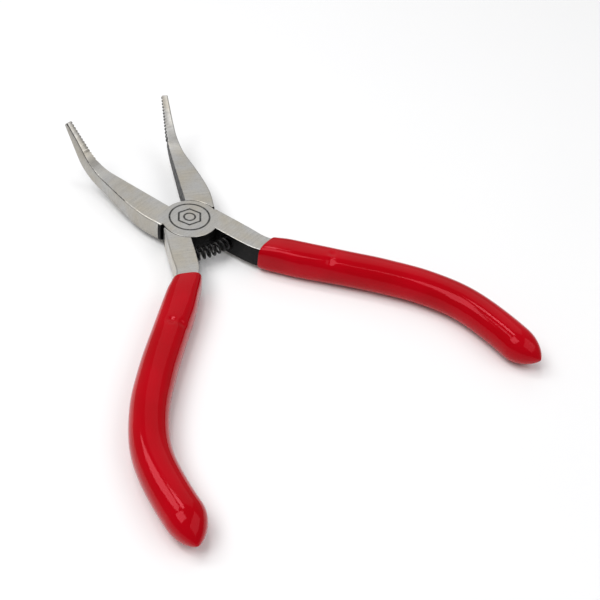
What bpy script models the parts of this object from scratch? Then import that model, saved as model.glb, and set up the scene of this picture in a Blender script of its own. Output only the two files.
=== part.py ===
"""Bent-nose pliers with a lap joint, a coil return spring and dipped vinyl grips.

All sizes are in millimetres and are turned into metres where a mesh is made. Each lever is
drawn as it lies when the pliers are closed, with the pivot on the Z axis, the jaws along +Y,
the grips along -Y and the underside of the head at Z = 0. The two halves are then swung
apart to the angle at which the spring is relaxed.
"""
import math

import bmesh
import bpy
from mathutils import Matrix, Vector

MM = 0.001

# Opening of the pliers at rest, jaw to jaw.
OPENING_DEG = 38.5

# Lap joint: each lever carries a disc of half the head's thickness.
HEAD_RADIUS = 6.85
HEAD_THICKNESS = 5.4
LAP_GAP = 0.25
DISC_CLEARANCE = 0.25

# Jaws. Widths run from the mating plane outwards and thicknesses down from the top edge,
# each as (distance from the pivot along the jaw, size). Towards the tip the outer side leans,
# and the insets say how far its top edge is drawn in.
JAW_START = 3.6
JAW_WIDTHS = [(3.6, 6.75), (9.0, 6.95), (14.0, 6.4), (22.0, 4.75), (28.0, 3.6), (35.0, 2.75), (44.0, 1.75)]
JAW_THINNING = [(11.0, 0.0), (27.5, 1.75), (31.0, 2.15), (35.0, 2.95), (43.0, 4.35)]
JAW_TOP_INSETS = [(20.0, 0.0), (28.0, 0.3), (35.0, 0.6), (43.0, 0.35)]
JAW_BEND_START = 25.6
JAW_BEND_RADIUS = 11.4
JAW_BEND_DEG = 45.0
JAW_NOSE_LENGTH = 8.3
JAW_EDGE_RADIUS = 0.9
# The upper lever's jaw is set towards the other one, so the jaws meet before the tangs are level.
UPPER_JAW_SET_DEG = 0.8
JAW_TIP_EDGE_RADIUS = 0.35

# Mating faces: cross-cut teeth at the nose, and a relieved face behind them.
MATING_GAP = 0.06
RELIEF_DEPTH = 0.12
TOOTH_PITCH = 0.8
TOOTH_DEPTH = 0.28
TOOTH_LAND = 0.3
TOOTH_COUNT = 14

# Tangs, from the shoulder that stops the opening to the end inside the grip. The tang narrows
# round the grip's mouth, over the stretch from NARROWING_BEFORE it to NARROWING_AFTER it.
TANG_START = -2.3
TANG_INNER_X = 1.3
TANG_WIDTH = 5.75
TANG_OUTER_EDGE_RADIUS = 0.8
TANG_INNER_EDGE_RADIUS = 0.3
TANG_HIDDEN_WIDTH = 4.6
NARROWING_BEFORE = 6.0
NARROWING_AFTER = 4.0
TANG_END_INSET = 9.0

# Centreline of the handle below the straight tang, as (x, y). Both handles are set round the
# pivot by a small angle, because the forgings aren't quite each other's mirror image.
HANDLE_SET_DEG = 0.35
HANDLE_BEND_Y = -16.0
HANDLE_POINTS = [(7.2, -25.0), (11.8, -35.0), (16.3, -45.0), (19.8, -55.0), (21.2, -65.0), (19.6, -75.0), (15.7, -87.3)]

# Dipped grips. GRIP_MOUTH is the distance of the lip from the tang's shoulder, and the walls
# are the vinyl's thickness over the tang's faces, over its sides, and at the sides of the lip.
# The nose's point lies off the centreline, towards the outer side.
GRIP_MOUTH = 17.3
GRIP_CLEARANCE = 0.3
GRIP_FACE_WALL = 0.95
GRIP_SIDE_WALL = 1.55
GRIP_LIP_SIDE_WALL = 0.75
GRIP_WIDENING = 14.0
GRIP_SQUARENESS = 2.7
GRIP_LIP = 0.7
GRIP_LEVELLING = 7.0
GRIP_NOSE_LENGTH = 7.0
GRIP_NOSE_POINT = 1.45
GRIP_NOSE_OFFSET = 1.1
GRIP_NOSE_TURN_DEG = 80.0

# Pivot rivet.
RIVET_RADIUS = 2.0
RIVET_HEAD_RADIUS = 3.2
RIVET_HEAD_HEIGHT = 1.1
RIVET_CLEARANCE = 0.05
RIVET_HEAD_GAP = 0.1

# Return spring and the blind pockets that hold its ends. SPRING_HEAD_GAP is the room between
# the head's discs and the spring's ends, which the bowed middle of the spring uses up.
SPRING_OUTER_RADIUS = 1.7
SPRING_HEAD_GAP = 1.65
SPRING_WIRE_RADIUS = 0.29
SPRING_TURNS = 10.5
SPRING_STEPS_PER_TURN = 12
SPRING_END_GAP = 0.15
POCKET_CLEARANCE = 0.25
POCKET_DEPTH = 2.0

ROUND_SEGMENTS = 64
RING_POINTS = 24

# A cut runs this far past the face that it opens.
CUT_BEYOND = 1.0


def clear_scene():
    """Remove whatever the file already holds."""
    for item in list(bpy.data.objects):
        bpy.data.objects.remove(item, do_unlink=True)


def make_material(name, colour, roughness, metallic):
    """A plain Principled material."""
    material = bpy.data.materials.new(name)
    material.use_nodes = True
    shader = material.node_tree.nodes["Principled BSDF"]
    shader.inputs["Base Color"].default_value = (*colour, 1.0)
    shader.inputs["Roughness"].default_value = roughness
    shader.inputs["Metallic"].default_value = metallic
    return material


def make_object(name, points, faces, material=None):
    """A closed mesh object from points in millimetres, with its faces turned outwards."""
    mesh = bpy.data.meshes.new(name)
    mesh.from_pydata([Vector(point) * MM for point in points], [], faces)
    work = bmesh.new()
    work.from_mesh(mesh)
    bmesh.ops.recalc_face_normals(work, faces=work.faces)
    work.to_mesh(mesh)
    work.free()
    item = bpy.data.objects.new(name, mesh)
    bpy.context.collection.objects.link(item)
    if material:
        mesh.materials.append(material)
    mesh.shade_smooth()
    mesh.set_sharp_from_angle(angle=math.radians(35))
    return item


def make_helper(name, points, faces):
    """A tool solid for a boolean, left out of the finished model."""
    item = make_object(name, points, faces)
    item.hide_render = True
    item.display_type = "WIRE"
    return item


def loft(rings):
    """Points and faces of a closed skin through rings of equal length, with flat ends."""
    count = len(rings[0])
    points = [point for ring in rings for point in ring]
    faces = [list(range(count)), list(range(len(points) - count, len(points)))]
    for row in range(len(rings) - 1):
        for column in range(count):
            following = (column + 1) % count
            a = row * count
            b = a + count
            faces.append([a + column, a + following, b + following, b + column])
    return points, faces


def cylinder(radius, low, high, top_radius=None):
    """Points and faces of an upright cylinder, or of a cone's frustum, on the Z axis."""
    rings = []
    for height, size in ((low, radius), (high, radius if top_radius is None else top_radius)):
        angles = [2 * math.pi * step / ROUND_SEGMENTS for step in range(ROUND_SEGMENTS)]
        rings.append([(size * math.cos(angle), size * math.sin(angle), height) for angle in angles])
    return loft(rings)


def combine(item, helper, operation):
    """Add a helper solid to an object, or cut it away. The helper moves with the object."""
    helper.parent = item
    modifier = item.modifiers.new(helper.name, "BOOLEAN")
    modifier.operation = operation
    modifier.object = helper
    modifier.solver = "EXACT"


def smooth_through(pairs, place):
    """Value at a place on a smooth curve through (place, value) pairs, held flat at the ends."""
    if place <= pairs[0][0]:
        return pairs[0][1]
    if place >= pairs[-1][0]:
        return pairs[-1][1]
    slopes = []
    for index in range(len(pairs)):
        before = pairs[max(index - 1, 0)]
        after = pairs[min(index + 1, len(pairs) - 1)]
        slopes.append((after[1] - before[1]) / (after[0] - before[0]))
    index = max(k for k in range(len(pairs) - 1) if pairs[k][0] <= place)
    span = pairs[index + 1][0] - pairs[index][0]
    t = (place - pairs[index][0]) / span
    return (
        (2 * t**3 - 3 * t**2 + 1) * pairs[index][1]
        + (t**3 - 2 * t**2 + t) * span * slopes[index]
        + (3 * t**2 - 2 * t**3) * pairs[index + 1][1]
        + (t**3 - t**2) * span * slopes[index + 1]
    )


def rounded_section(left, right, low, high, radii, steps=3):
    """Outline of a box section whose four corners have their own radii.

    The radii are for the corners (left, low), (right, low), (right, high) and (left, high).
    A radius of nothing gives a single point.
    """
    outline = []
    corners = [(left, low, 180), (right, low, 270), (right, high, 0), (left, high, 90)]
    for (x, y, start), radius in zip(corners, radii):
        centre_x = x + radius * (1 if x == left else -1)
        centre_y = y + radius * (1 if y == low else -1)
        for step in range(steps + 1 if radius else 1):
            angle = math.radians(start + 90 * step / steps)
            outline.append((centre_x + radius * math.cos(angle), centre_y + radius * math.sin(angle)))
    return outline


# ---------------------------------------------------------------- jaws


def jaw_length():
    """Length of a jaw's top edge, measured from the pivot."""
    return JAW_BEND_START + JAW_BEND_RADIUS * math.radians(JAW_BEND_DEG) + JAW_NOSE_LENGTH


def jaw_frame(distance):
    """Place (y, z) and slope of a jaw's top edge at a distance from the pivot."""
    turn = min(max(distance - JAW_BEND_START, 0.0) / JAW_BEND_RADIUS, math.radians(JAW_BEND_DEG))
    beyond = max(distance - JAW_BEND_START - JAW_BEND_RADIUS * math.radians(JAW_BEND_DEG), 0.0)
    y = min(distance, JAW_BEND_START) + JAW_BEND_RADIUS * math.sin(turn) + beyond * math.cos(turn)
    z = HEAD_THICKNESS + JAW_BEND_RADIUS * (1 - math.cos(turn)) + beyond * math.sin(turn)
    return y, z, turn


def jaw_ring(side, distance, inner):
    """Cross-section of a jaw, square to its top edge, at a distance from the pivot."""
    y, z, turn = jaw_frame(distance)
    thickness = HEAD_THICKNESS - smooth_through(JAW_THINNING, distance)
    radius = JAW_TIP_EDGE_RADIUS + (JAW_EDGE_RADIUS - JAW_TIP_EDGE_RADIUS) * (1 - distance / jaw_length())
    width = smooth_through(JAW_WIDTHS, distance)
    inset = smooth_through(JAW_TOP_INSETS, distance)
    outline = rounded_section(-width, -inner, -thickness, 0.0, (radius, 0, 0, 0.5 * radius))
    settle = Matrix.Rotation(math.radians(-UPPER_JAW_SET_DEG if side > 0 else 0.0), 3, "Z")
    ring = []
    for across, up in outline:
        lean = inset * (1 + up / thickness) * (across + inner) / (inner - width)
        place = Vector((side * (across + lean), y - up * math.sin(turn), z + up * math.cos(turn)))
        ring.append(settle @ place)
    return ring


def jaw_rings(side):
    """Sections from the shoulder to the tip, with the teeth cut into the mating face."""
    teeth_start = jaw_length() - TOOTH_COUNT * TOOTH_PITCH
    half_gap = MATING_GAP / 2
    rings = []
    for start, stop, steps in ((JAW_START, JAW_BEND_START, 9), (JAW_BEND_START, teeth_start, 5)):
        for step in range(steps):
            distance = start + (stop - start) * step / steps
            rings.append(jaw_ring(side, distance, half_gap + RELIEF_DEPTH))
    for tooth in range(TOOTH_COUNT):
        root = teeth_start + tooth * TOOTH_PITCH
        rings.append(jaw_ring(side, root, half_gap + TOOTH_DEPTH))
        rings.append(jaw_ring(side, root + (TOOTH_PITCH - TOOTH_LAND * TOOTH_PITCH) / 2, half_gap))
        rings.append(jaw_ring(side, root + (TOOTH_PITCH + TOOTH_LAND * TOOTH_PITCH) / 2, half_gap))
    rings.append(jaw_ring(side, jaw_length(), half_gap + TOOTH_DEPTH / 2))
    return rings


# ---------------------------------------------------------------- handles


def handle_points(spacing):
    """Centreline of a tang and its grip as (x, y) points at an even spacing."""
    centre_x = TANG_INNER_X + TANG_WIDTH / 2
    knots = [(centre_x, TANG_START), (centre_x, HANDLE_BEND_Y)] + HANDLE_POINTS
    dense = []
    for index in range(1, len(knots)):
        before = Vector(knots[max(index - 2, 0)])
        start = Vector(knots[index - 1])
        end = Vector(knots[index])
        after = Vector(knots[min(index + 1, len(knots) - 1)])
        leave = Vector((0.0, -1.0)) if index <= 2 else (end - before).normalized()
        arrive = Vector((0.0, -1.0)) if index == 1 else (after - start).normalized()
        reach = (end - start).length
        for step in range(20):
            t = step / 20
            dense.append(
                (2 * t**3 - 3 * t**2 + 1) * start
                + (t**3 - 2 * t**2 + t) * reach * leave
                + (3 * t**2 - 2 * t**3) * end
                + (t**3 - t**2) * reach * arrive
            )
    dense.append(Vector(knots[-1]))
    even = [dense[0]]
    carried = 0.0
    for a, b in zip(dense, dense[1:]):
        reach = (b - a).length
        while carried + reach >= spacing:
            a = a.lerp(b, (spacing - carried) / reach)
            reach = (b - a).length
            carried = 0.0
            even.append(a)
        carried += reach
    return even


HANDLE_SPACING = 0.25
HANDLE_LINE = handle_points(HANDLE_SPACING)


def handle_length():
    """Length of the handle's centreline, from the shoulder to the grip's end."""
    return HANDLE_SPACING * (len(HANDLE_LINE) - 1)


def handle_frame(distance):
    """Centre and sideways direction of the handle at a distance from the shoulder."""
    index = min(max(int(distance / HANDLE_SPACING), 0), len(HANDLE_LINE) - 2)
    a = HANDLE_LINE[index]
    b = HANDLE_LINE[index + 1]
    along = (b - a).normalized()
    centre = a + along * (distance - index * HANDLE_SPACING)
    return centre, Vector((-along.y, along.x))


def handle_ring(side, distance, outline, level=0.0):
    """Lay a section's (sideways, up) outline across the handle.

    A level of 0 lays it square to the handle, and 1 lays it square to the straight tang.
    """
    centre, square = handle_frame(distance)
    sideways = square.lerp(Vector((1.0, 0.0)), level)
    sideways = sideways / sideways.dot(square)
    settle = Matrix.Rotation(math.radians(HANDLE_SET_DEG), 3, "Z")
    ring = []
    for across, up in outline:
        place = centre + sideways * across
        ring.append(settle @ Vector((side * place.x, place.y, HEAD_THICKNESS / 2 + up)))
    return ring


def tang_width(distance):
    """Width of the tang at a distance from its shoulder."""
    narrowing = [(GRIP_MOUTH - NARROWING_BEFORE, TANG_WIDTH), (GRIP_MOUTH + NARROWING_AFTER, TANG_HIDDEN_WIDTH)]
    return smooth_through([(0.0, TANG_WIDTH)] + narrowing, distance)


def tang_section(distance, grow):
    """Outline of the tang's section, grown all round for the cavity of the grip."""
    half = tang_width(distance) / 2 + grow
    high = HEAD_THICKNESS / 2 + grow
    inner = TANG_INNER_EDGE_RADIUS
    outer = TANG_OUTER_EDGE_RADIUS
    return rounded_section(-half, half, -high, high, (inner, outer, outer, inner), steps=2)


def tang_rings(side):
    """Sections of the bare tang and of the part that runs on inside the grip."""
    end = handle_length() - TANG_END_INSET
    bend = TANG_START - HANDLE_BEND_Y
    narrow = GRIP_MOUTH + NARROWING_AFTER
    places = []
    for start, stop, steps in ((0.0, bend, 3), (bend, GRIP_MOUTH, 3), (GRIP_MOUTH, narrow, 2), (narrow, end, 13)):
        places += [start + (stop - start) * step / steps for step in range(steps)]
    return [handle_ring(side, place, tang_section(place, 0.0)) for place in places + [end]]


def spring_end_y():
    """Place of the spring's ends along the closed pliers, clear of the head's discs."""
    return -(HEAD_RADIUS + SPRING_HEAD_GAP + SPRING_OUTER_RADIUS)


def lever(name, side, material):
    """One forging: a jaw, half of the lap joint and a tang.

    Side is +1 for the lever whose jaw is on the left and whose disc is on top, and -1 for
    the other one.
    """
    middle = HEAD_THICKNESS / 2
    on_top = side > 0
    disc_low = middle + LAP_GAP / 2 if on_top else 0.0
    disc_high = HEAD_THICKNESS if on_top else middle - LAP_GAP / 2
    item = make_object(name, *loft(tang_rings(side)), material)
    combine(item, make_helper(name + "_jaw", *loft(jaw_rings(side))), "UNION")

    # The other lever's disc turns in a round step cut through both shoulders.
    step_low = -CUT_BEYOND if on_top else middle - LAP_GAP / 2
    step_high = middle + LAP_GAP / 2 if on_top else HEAD_THICKNESS + CUT_BEYOND
    step = cylinder(HEAD_RADIUS + DISC_CLEARANCE, step_low, step_high)
    combine(item, make_helper(name + "_step", *step), "DIFFERENCE")
    combine(item, make_helper(name + "_disc", *cylinder(HEAD_RADIUS, disc_low, disc_high)), "UNION")

    bore = cylinder(RIVET_RADIUS + RIVET_CLEARANCE, -CUT_BEYOND, HEAD_THICKNESS + CUT_BEYOND)
    combine(item, make_helper(name + "_bore", *bore), "DIFFERENCE")
    if not on_top:
        wide = RIVET_HEAD_RADIUS + RIVET_HEAD_GAP
        narrow = RIVET_RADIUS + RIVET_HEAD_GAP
        sink = cylinder(wide, -0.001, RIVET_HEAD_HEIGHT + RIVET_HEAD_GAP, narrow)
        combine(item, make_helper(name + "_sink", *sink), "DIFFERENCE")

    # A blind round pocket in the inner face holds the end of the spring.
    radius = SPRING_OUTER_RADIUS + POCKET_CLEARANCE
    drill_points, drill_faces = cylinder(radius, -CUT_BEYOND, POCKET_DEPTH)
    placed = []
    for x, y, z in drill_points:
        placed.append((side * (TANG_INNER_X + z), spring_end_y() + y, middle + x))
    combine(item, make_helper(name + "_pocket", placed, drill_faces), "DIFFERENCE")
    return item


def grip(name, side, material):
    """A vinyl sleeve, dipped on: a closed nose, a rolled lip and a cavity for the tang."""
    end = handle_length()
    power = 2 / GRIP_SQUARENESS
    thickness = HEAD_THICKNESS + 2 * (GRIP_CLEARANCE + GRIP_FACE_WALL)
    body_width = TANG_HIDDEN_WIDTH + 2 * (GRIP_CLEARANCE + GRIP_SIDE_WALL)
    lip_width = tang_width(GRIP_MOUTH) + 2 * (GRIP_CLEARANCE + GRIP_LIP_SIDE_WALL)

    def outer_outline(width, height):
        outline = []
        for step in range(RING_POINTS):
            angle = 2 * math.pi * (step + 0.5) / RING_POINTS
            c = math.cos(angle)
            s = math.sin(angle)
            across = math.copysign(abs(c) ** power, c) * width / 2
            up = math.copysign(abs(s) ** power, s) * height / 2
            outline.append((across, up))
        return outline

    def cavity_outline(distance):
        shape = tang_section(distance, GRIP_CLEARANCE)
        angles = [math.atan2(up, across) for across, up in shape]
        outline = []
        for across, up in outer_outline(1.0, 1.0):
            wanted = math.atan2(up, across)
            near = min(range(len(shape)), key=lambda k: abs(math.remainder(angles[k] - wanted, 2 * math.pi)))
            ray = Vector((across, up)).normalized()
            best = None
            for step in (-1, 0, 1):
                a = Vector(shape[(near + step) % len(shape)])
                b = Vector(shape[(near + step + 1) % len(shape)])
                edge = b - a
                cross = ray.x * edge.y - ray.y * edge.x
                if abs(cross) < 1e-9:
                    continue
                reach = (a.x * edge.y - a.y * edge.x) / cross
                share = (a.x * ray.y - a.y * ray.x) / cross
                if -1e-6 <= share <= 1 + 1e-6 and reach > 0:
                    best = ray * reach
            outline.append(tuple(best))
        return outline

    def level(place):
        """The dip line is level with the hanging tang, and the sections turn square below it."""
        share = min(max((place - GRIP_MOUTH) / GRIP_LEVELLING, 0.0), 1.0)
        return 1 - share * share * (3 - 2 * share)

    cavity_end = end - TANG_END_INSET + GRIP_CLEARANCE
    rings = []
    inner_steps = 12
    for step in range(inner_steps + 1):
        place = cavity_end + (GRIP_MOUTH - cavity_end) * step / inner_steps
        shape = cavity_outline(min(place, end - TANG_END_INSET))
        rings.append(handle_ring(side, place, shape, level(place)))
    lip = outer_outline(lip_width - GRIP_LIP, thickness - GRIP_LIP)
    rings.append(handle_ring(side, GRIP_MOUTH, lip, level(GRIP_MOUTH)))
    body_start = GRIP_MOUTH + GRIP_LIP / 2
    body_end = end - GRIP_NOSE_LENGTH
    widths = [(body_start, lip_width), (body_start + GRIP_WIDENING, body_width), (body_end, body_width)]
    outer_steps = 20
    for step in range(outer_steps + 1):
        place = body_start + (body_end - body_start) * step / outer_steps
        shape = outer_outline(smooth_through(widths, place), thickness)
        rings.append(handle_ring(side, place, shape, level(place)))
    nose_steps = 5
    for step in range(1, nose_steps + 1):
        turn = math.radians(GRIP_NOSE_TURN_DEG * step / nose_steps)
        place = body_end + GRIP_NOSE_LENGTH * math.sin(turn)
        size = math.cos(turn) ** GRIP_NOSE_POINT
        shape = outer_outline(body_width * size, thickness * size)
        shape = [(across + GRIP_NOSE_OFFSET * (1 - size), up) for across, up in shape]
        rings.append(handle_ring(side, place, shape))
    return make_object(name, *loft(rings), material)


# ---------------------------------------------------------------- rivet and spring


def rivet(name, material):
    """A steel rivet with a countersunk head below and its shank ground flush above."""
    head = RIVET_HEAD_HEIGHT
    radii = [(0.0, RIVET_HEAD_RADIUS), (head, RIVET_RADIUS), (HEAD_THICKNESS, RIVET_RADIUS)]
    angles = [2 * math.pi * step / ROUND_SEGMENTS for step in range(ROUND_SEGMENTS)]
    rings = []
    for height, radius in radii:
        rings.append([(radius * math.cos(a), radius * math.sin(a), height) for a in angles])
    return make_object(name, *loft(rings), material)


def spring_arc():
    """Radius, centre and half angle of the arc that the bowed spring's axis follows."""
    half_open = math.radians(OPENING_DEG / 2)
    turn = Matrix.Rotation(half_open, 3, "Z")
    depth = POCKET_DEPTH - SPRING_WIRE_RADIUS - SPRING_END_GAP
    end = turn @ Vector((TANG_INNER_X + depth, spring_end_y(), 0.0))
    radius = end.x / math.sin(half_open)
    return radius, end.y + radius * math.cos(half_open), half_open


def spring(name, material):
    """An open coil of round black wire, with closed end turns, bowed between the tangs."""
    radius, centre_y, half_angle = spring_arc()
    coil_radius = SPRING_OUTER_RADIUS - SPRING_WIRE_RADIUS
    end_turn = 1.0 / SPRING_TURNS
    end_rise = 2.1 * SPRING_WIRE_RADIUS / (2 * half_angle * radius)
    steps = int(SPRING_TURNS * SPRING_STEPS_PER_TURN)
    curve = bpy.data.curves.new(name, "CURVE")
    curve.dimensions = "3D"
    curve.bevel_depth = SPRING_WIRE_RADIUS * MM
    curve.bevel_resolution = 1
    curve.use_fill_caps = True
    line = curve.splines.new("POLY")
    line.points.add(steps)
    for step in range(steps + 1):
        share = step / steps
        if share < end_turn:
            rise = end_rise * share / end_turn
        elif share > 1 - end_turn:
            rise = 1 - end_rise * (1 - share) / end_turn
        else:
            rise = end_rise + (1 - 2 * end_rise) * (share - end_turn) / (1 - 2 * end_turn)
        along = half_angle * (2 * rise - 1)
        turn = 2 * math.pi * SPRING_TURNS * share
        reach = radius - coil_radius * math.cos(turn)
        height = HEAD_THICKNESS / 2 + coil_radius * math.sin(turn)
        place = Vector((reach * math.sin(along), centre_y - reach * math.cos(along), height))
        line.points[step].co = (*(place * MM), 1.0)
    item = bpy.data.objects.new(name, curve)
    bpy.context.collection.objects.link(item)
    curve.materials.append(material)
    return item


def swing(name, items, angle_deg):
    """Hang one half of the pliers on an empty at the pivot, swung open by an angle."""
    hinge = bpy.data.objects.new(name, None)
    bpy.context.collection.objects.link(hinge)
    hinge.rotation_euler = (0.0, 0.0, math.radians(angle_deg))
    for item in items:
        item.parent = hinge


def build():
    """Make every piece and swing the two halves to their rest pose."""
    clear_scene()
    steel = make_material("ground_steel", (0.42, 0.41, 0.40), 0.35, 1.0)
    wire = make_material("black_spring_wire", (0.03, 0.03, 0.035), 0.4, 1.0)
    rivet_steel = make_material("rivet_steel", (0.38, 0.37, 0.36), 0.4, 1.0)
    vinyl = make_material("red_dipped_vinyl", (0.42, 0.0, 0.01), 0.15, 0.0)
    half = OPENING_DEG / 2
    upper = [
        lever("upper_lever", 1, steel),
        grip("upper_lever_grip", 1, vinyl),
        rivet("pivot_rivet", rivet_steel),
    ]
    lower = [
        lever("lower_lever", -1, steel),
        grip("lower_lever_grip", -1, vinyl),
    ]
    swing("upper_half", upper, half)
    swing("lower_half", lower, -half)
    spring("return_spring", wire)


build()
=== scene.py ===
import math

import bmesh
import bpy
from mathutils import Matrix, Vector, noise


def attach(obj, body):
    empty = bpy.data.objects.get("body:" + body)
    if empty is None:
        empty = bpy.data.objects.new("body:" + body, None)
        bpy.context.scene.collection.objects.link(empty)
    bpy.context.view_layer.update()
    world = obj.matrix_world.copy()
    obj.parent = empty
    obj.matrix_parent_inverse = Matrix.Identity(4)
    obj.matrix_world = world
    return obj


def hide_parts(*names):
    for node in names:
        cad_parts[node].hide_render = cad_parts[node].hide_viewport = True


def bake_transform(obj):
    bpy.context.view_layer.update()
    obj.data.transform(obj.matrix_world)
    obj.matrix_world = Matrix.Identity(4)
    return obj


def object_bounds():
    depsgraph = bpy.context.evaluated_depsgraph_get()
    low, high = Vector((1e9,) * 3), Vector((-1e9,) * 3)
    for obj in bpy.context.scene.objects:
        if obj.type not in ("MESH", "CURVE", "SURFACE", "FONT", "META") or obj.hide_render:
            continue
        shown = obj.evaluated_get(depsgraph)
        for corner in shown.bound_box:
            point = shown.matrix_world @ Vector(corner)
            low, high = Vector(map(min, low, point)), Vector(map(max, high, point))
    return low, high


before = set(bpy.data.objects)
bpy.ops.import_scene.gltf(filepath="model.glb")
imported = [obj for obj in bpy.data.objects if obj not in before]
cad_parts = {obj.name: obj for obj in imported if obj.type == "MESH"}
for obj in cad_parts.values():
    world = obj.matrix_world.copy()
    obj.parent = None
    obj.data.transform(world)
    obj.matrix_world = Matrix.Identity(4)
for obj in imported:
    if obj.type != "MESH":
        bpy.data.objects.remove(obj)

cad_low, cad_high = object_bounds()
MM = 0.001

# ---------------------------------------------------------------- studio
# The pliers lie on white seamless paper, on the undersides of their grips. A broad softbox hangs
# over the left with a window beyond it, a small lamp hangs over the jaws, and white cards stand in
# front and behind. The paper throws light back up.


def linear(hex_colour):
    """Linear colour of an sRGB hex value."""
    parts = [int(hex_colour[place:place + 2], 16) / 255 for place in (1, 3, 5)]
    return [part / 12.92 if part <= 0.04045 else ((part + 0.055) / 1.055) ** 2.4 for part in parts] + [1.0]


def add(tree, kind, inputs, **settings):
    """Adds a shader node with its settings. Its inputs are given by name, or in order in a list.
    Each is a value, a socket to link from, or a node whose first output it links from."""
    made = tree.nodes.new("ShaderNode" + kind)
    for name, value in settings.items():
        setattr(made, name, value)
    for name, value in inputs.items() if isinstance(inputs, dict) else enumerate(inputs):
        if isinstance(value, bpy.types.Node):
            value = value.outputs[0]
        if isinstance(value, bpy.types.NodeSocket):
            tree.links.new(value, made.inputs[name])
        else:
            made.inputs[name].default_value = value
    return made


def finish_named(name):
    """A new material and its empty node tree."""
    material = bpy.data.materials.new(name)
    material.use_nodes = True
    material.node_tree.nodes.clear()
    return material, material.node_tree


PATTERNS_APART = 7.0


def cloudiness(tree, size, detail=2.0, start=0.0, rough=0.5, swing=0.0):
    """Noise whose features are size = (x, y, z) millimetres, laid along a piece swung about Z.
    Patterns with different starts don't repeat one another."""
    laid = {
        "Vector": add(tree, "TexCoord", []).outputs["Object"],
        "Location": [start * PATTERNS_APART * MM] * 3,
        "Rotation": (0.0, 0.0, swing),
        "Scale": [side * MM for side in size],
    }
    mapped = add(tree, "Mapping", laid, vector_type="TEXTURE")
    return add(tree, "TexNoise", {"Vector": mapped, "Scale": 1.0, "Detail": detail, "Roughness": rough})


# Uncoated white paper: matt, with a faint cloudiness in its whiteness.
paper, tree = finish_named("white_seamless_paper")
tone = add(tree, "MixRGB", [cloudiness(tree, (60, 60, 60)), linear("#F8F8F9"), linear("#FAFAFA")])
matt = add(tree, "BsdfPrincipled", {"Base Color": tone, "Roughness": 0.95, "Specular IOR Level": 0.1})
add(tree, "OutputMaterial", [matt])

# The paper lies just under the grips, whose skins wave a little lower than their smooth shape.
FLOOR_HALF = 1.6
GRIP_WAVE_ROOM = 0.038
floor_level = cad_low.z - GRIP_WAVE_ROOM * MM
corners = [(x * FLOOR_HALF, y * FLOOR_HALF, floor_level) for x, y in ((-1, -1), (1, -1), (1, 1), (-1, 1))]
floor_mesh = bpy.data.meshes.new("paper")
floor_mesh.from_pydata(corners, [], [(0, 1, 2, 3)])
floor_mesh.materials.append(paper)
floor = bpy.data.objects.new("paper", floor_mesh)
bpy.context.scene.collection.objects.link(floor)

# The lights all face a place on the tool's centreline, near its middle.
LIT_PLACE = Vector((0.0, -30.0, 0.0)) * MM


def soft_light(name, toward, distance, width, height, radiance):
    """A soft white light of width by height metres, as far off as distance in the direction given."""
    lamp = bpy.data.lights.new(name, "AREA")
    lamp.shape = "RECTANGLE"
    lamp.size = width
    lamp.size_y = height
    lamp.energy = radiance * math.pi * width * height
    item = bpy.data.objects.new(name, lamp)
    direction = Vector(toward).normalized()
    item.location = LIT_PLACE + direction * distance
    item.rotation_mode = "QUATERNION"
    item.rotation_quaternion = direction.to_track_quat("Z", "Y")
    bpy.context.scene.collection.objects.link(item)


soft_light("left_softbox", (-0.44, 0.03, 0.9), 0.7, 0.3, 0.5, 4.3)
soft_light("far_window", (-0.34, 0.5, 0.8), 0.7, 0.26, 0.3, 4.6)
soft_light("top_lamp", (0.06, 0.36, 0.93), 0.75, 0.13, 0.16, 7.0)
soft_light("front_card", (0.33, -0.52, 0.79), 0.75, 0.75, 0.42, 1.42)
soft_light("back_card", (0.467, 0.545, 0.696), 0.8, 0.6, 0.5, 0.5)

world = bpy.data.worlds.new("white_room")
world.use_nodes = True
background = world.node_tree.nodes["Background"]
background.inputs["Color"].default_value = linear("#FFFFFF")
background.inputs["Strength"].default_value = 0.3
bpy.context.scene.world = world
bpy.context.scene.view_settings.view_transform = "Standard"

# The camera looks down at the pliers from above the grips, a little rolled.
CAMERA_PLACE = (-98.4, -159.5, 162.7)
CAMERA_TURN_DEG = (45.593, -5.61, -35.122)
CAMERA_LENS = 59.88
camera_data = bpy.data.cameras.new("camera")
camera_data.lens = CAMERA_LENS
camera_data.sensor_width = 36.0
camera_data.clip_start = 0.01
camera = bpy.data.objects.new("camera", camera_data)
camera.location = Vector(CAMERA_PLACE) * MM
camera.rotation_euler = [math.radians(angle) for angle in CAMERA_TURN_DEG]
bpy.context.scene.collection.objects.link(camera)
bpy.context.scene.camera = camera

# ---------------------------------------------------------------- levers
# Two drop-forged carbon-steel levers, each a bent jaw, half of the lap joint and a tang. The
# forging is blacked all over, and then the flats and the jaws' backs are ground bright by belt.
#
# Sizes in millimetres, with the pliers closed. The lap joint is two half-thick discs, each of which
# turns in a round step of the other lever.
OPENING_DEG = 38.5
HEAD_RADIUS = 6.85
HEAD_THICKNESS = 5.4
LAP_GAP = 0.08
DISC_CLEARANCE = 0.13
EDGE_BREAK = 0.09
CUT_BEYOND = 1.0

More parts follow.
